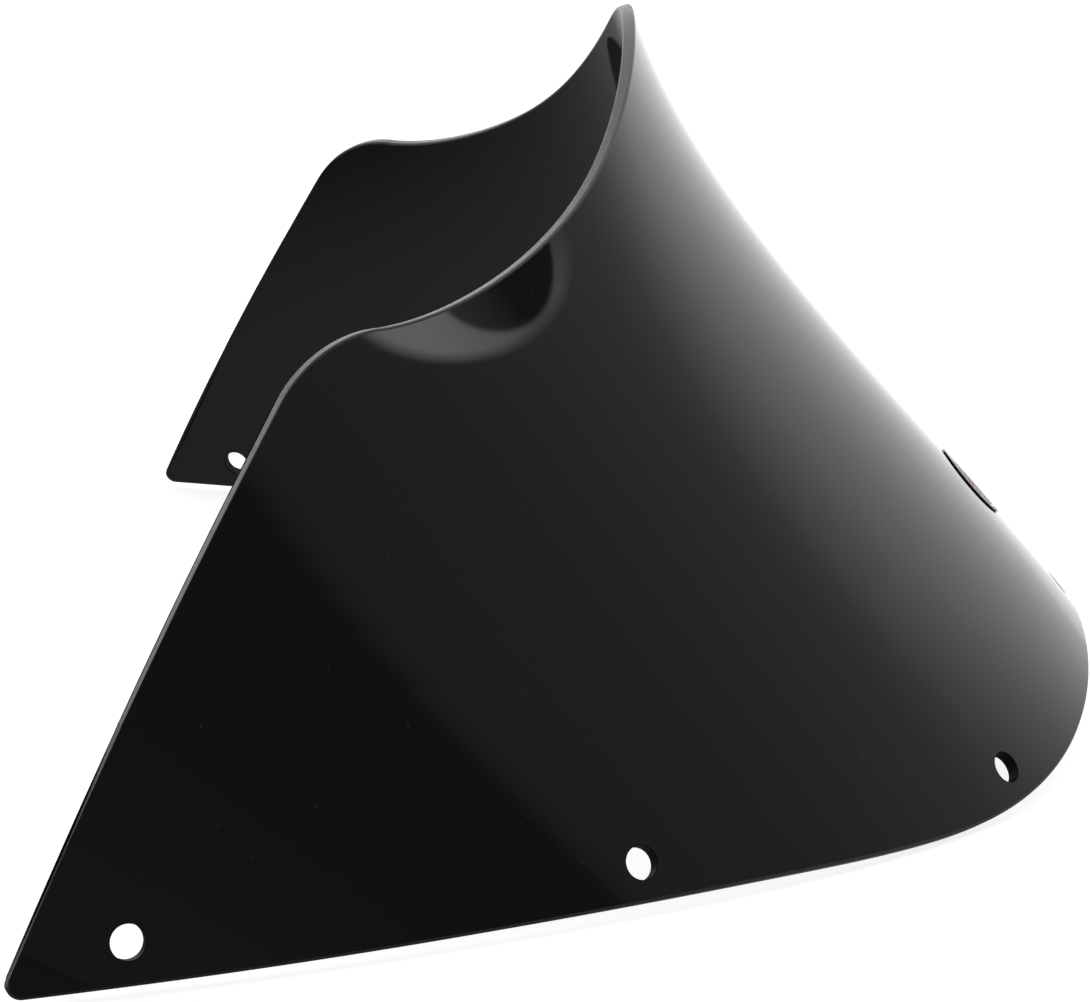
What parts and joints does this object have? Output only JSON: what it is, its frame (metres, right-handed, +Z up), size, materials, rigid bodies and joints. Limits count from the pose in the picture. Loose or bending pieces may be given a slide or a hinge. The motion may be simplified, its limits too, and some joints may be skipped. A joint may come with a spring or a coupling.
{
  "type": "windshield screen",
  "caption": "Wrap-round motorcycle fairing windshield in opaque gloss plastic, with a flared top, a ground edge, mounting holes along its foot and a domed badge on the nose.",
  "frame": {"origin": "centre of the bounding box in plan, at the height of the lowest point of the foot, with the screen standing on its foot on a flat surface", "axes": "+Z up; -Y is the direction of travel, so the nose faces -Y and the open side faces +Y; +X across, over the two wings, with x = 0 the plane of symmetry"},
  "size_m": [0.5612, 0.3396, 0.2376],
  "materials": {
    "screen": "polished, mirror-like black cast acrylic, its cut edge ground and flame polished",
    "badge_adhesive": "dark foam tape",
    "badge_black": "gloss black printed film",
    "badge_foil": "bright foil line",
    "badge_red": "gloss red printed film",
    "badge_resin": "clear poured resin, gloss"
  },
  "bodies": {
    "root": {"screen_sheet": "screen", "badge_pad": "badge_adhesive", "badge_film": "badge_black", "badge_ring": "badge_foil", "badge_band": "badge_red", "badge_dome": "badge_resin"}
  },
  "joints": []
}
